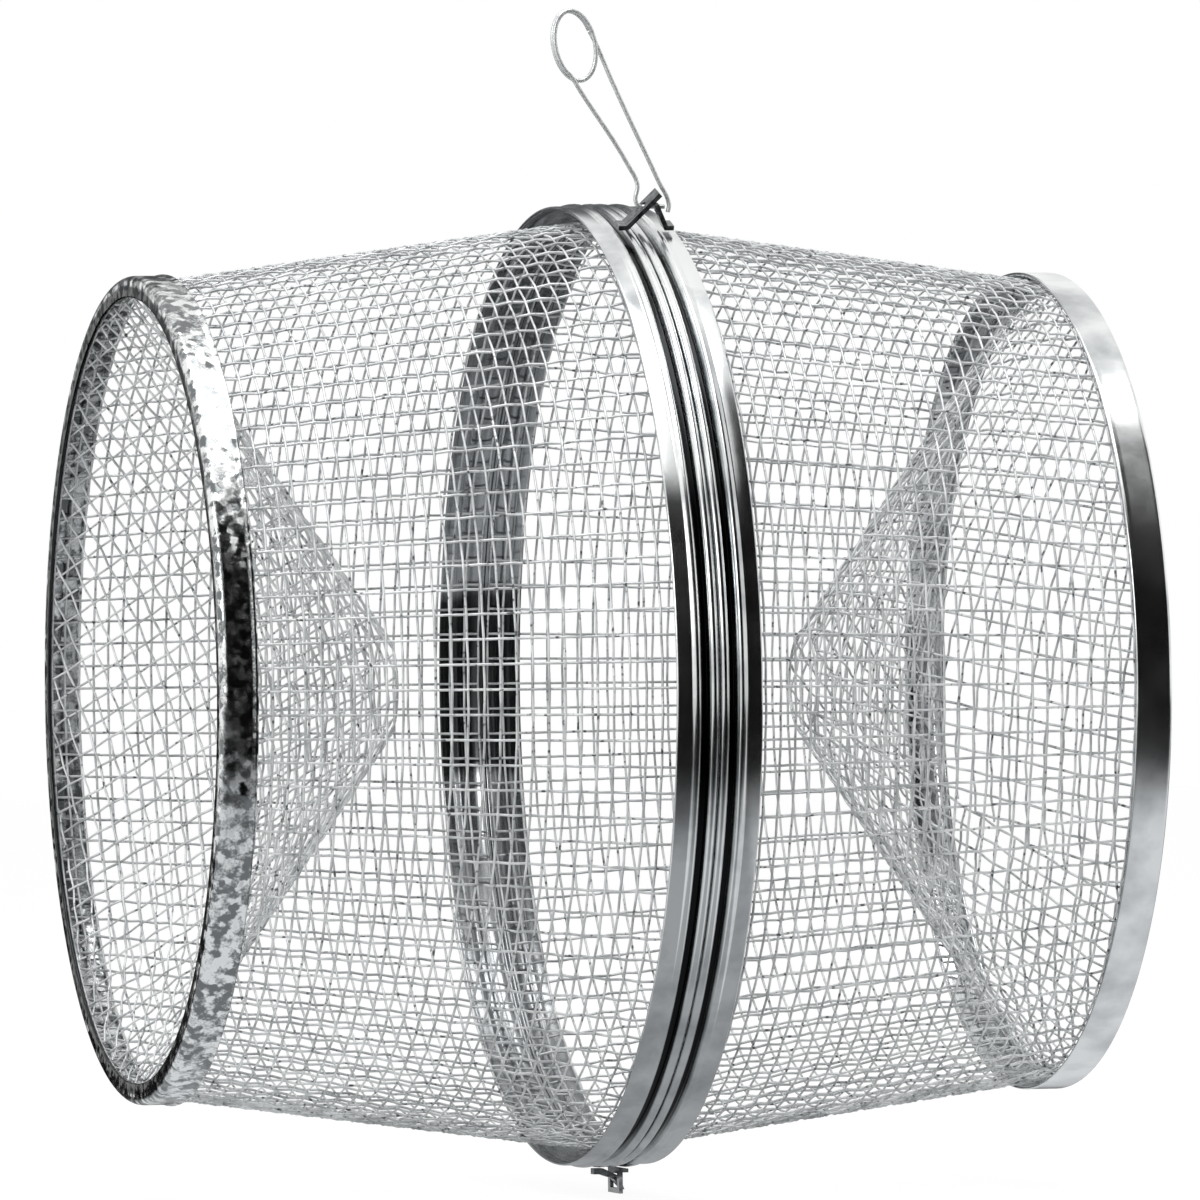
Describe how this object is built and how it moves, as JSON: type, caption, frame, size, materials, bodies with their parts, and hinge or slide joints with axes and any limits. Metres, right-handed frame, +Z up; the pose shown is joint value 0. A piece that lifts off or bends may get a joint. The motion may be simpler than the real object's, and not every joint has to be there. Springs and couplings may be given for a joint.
{
  "type": "minnow trap",
  "caption": "Round wire-cloth minnow trap that tapers to both ends, with inward funnels, sheet rims, a hooked joint below and a wire clip above.",
  "frame": {"origin": "centre of the bounding box's bottom face, straight below the trap's middle, level with the tip of the hinge eye", "axes": "+Z up, X along the trap's axis with the galvanised end at -X, Y across; the halves meet at X = 0"},
  "size_m": [0.2266, 0.229, 0.2796],
  "materials": {
    "cloth": "satin, zinc coated woven wire",
    "galvanised_rim": "mottled zinc spangle",
    "bright_rim": "smooth and bright",
    "fitting": "smooth pressed sheet",
    "clip_wire": "drawn spring wire"
  },
  "bodies": {
    "left_half": {"left_shell_cloth": "cloth", "left_funnel_cloth": "cloth", "left_middle_rim": "bright_rim", "left_end_rim": "galvanised_rim", "left_latch_lug": "fitting", "hinge_hook": "fitting"},
    "right_half": {"right_shell_cloth": "cloth", "right_funnel_cloth": "cloth", "right_middle_rim": "bright_rim", "right_end_rim": "bright_rim", "right_latch_lug": "fitting", "hinge_eye": "fitting"},
    "clip": {"clip_wire": "clip_wire"},
    "gate": {"clip_gate": "clip_wire"}
  },
  "joints": [
    {"name": "shell_hinge", "type": "hinge", "parent": "left_half", "child": "right_half", "pos_m": [0.0039, 0, 0.0033], "axis": [0, 1, 0], "range_deg": [0, 80]},
    {"name": "clip_swing", "type": "hinge", "parent": "left_half", "child": "clip", "pos_m": [0.0021, -0.0418, 0.23317], "axis": [0, 1, 0], "range_deg": [-14, 12]},
    {"name": "gate_spring", "type": "hinge", "parent": "clip", "child": "gate", "pos_m": [-0.0105, -0.0402, 0.2746], "axis": [0, -1, 0], "range_deg": [0, 16], "stiffness_Nm_per_rad": 0.03, "springref_deg": -5.73}
  ]
}
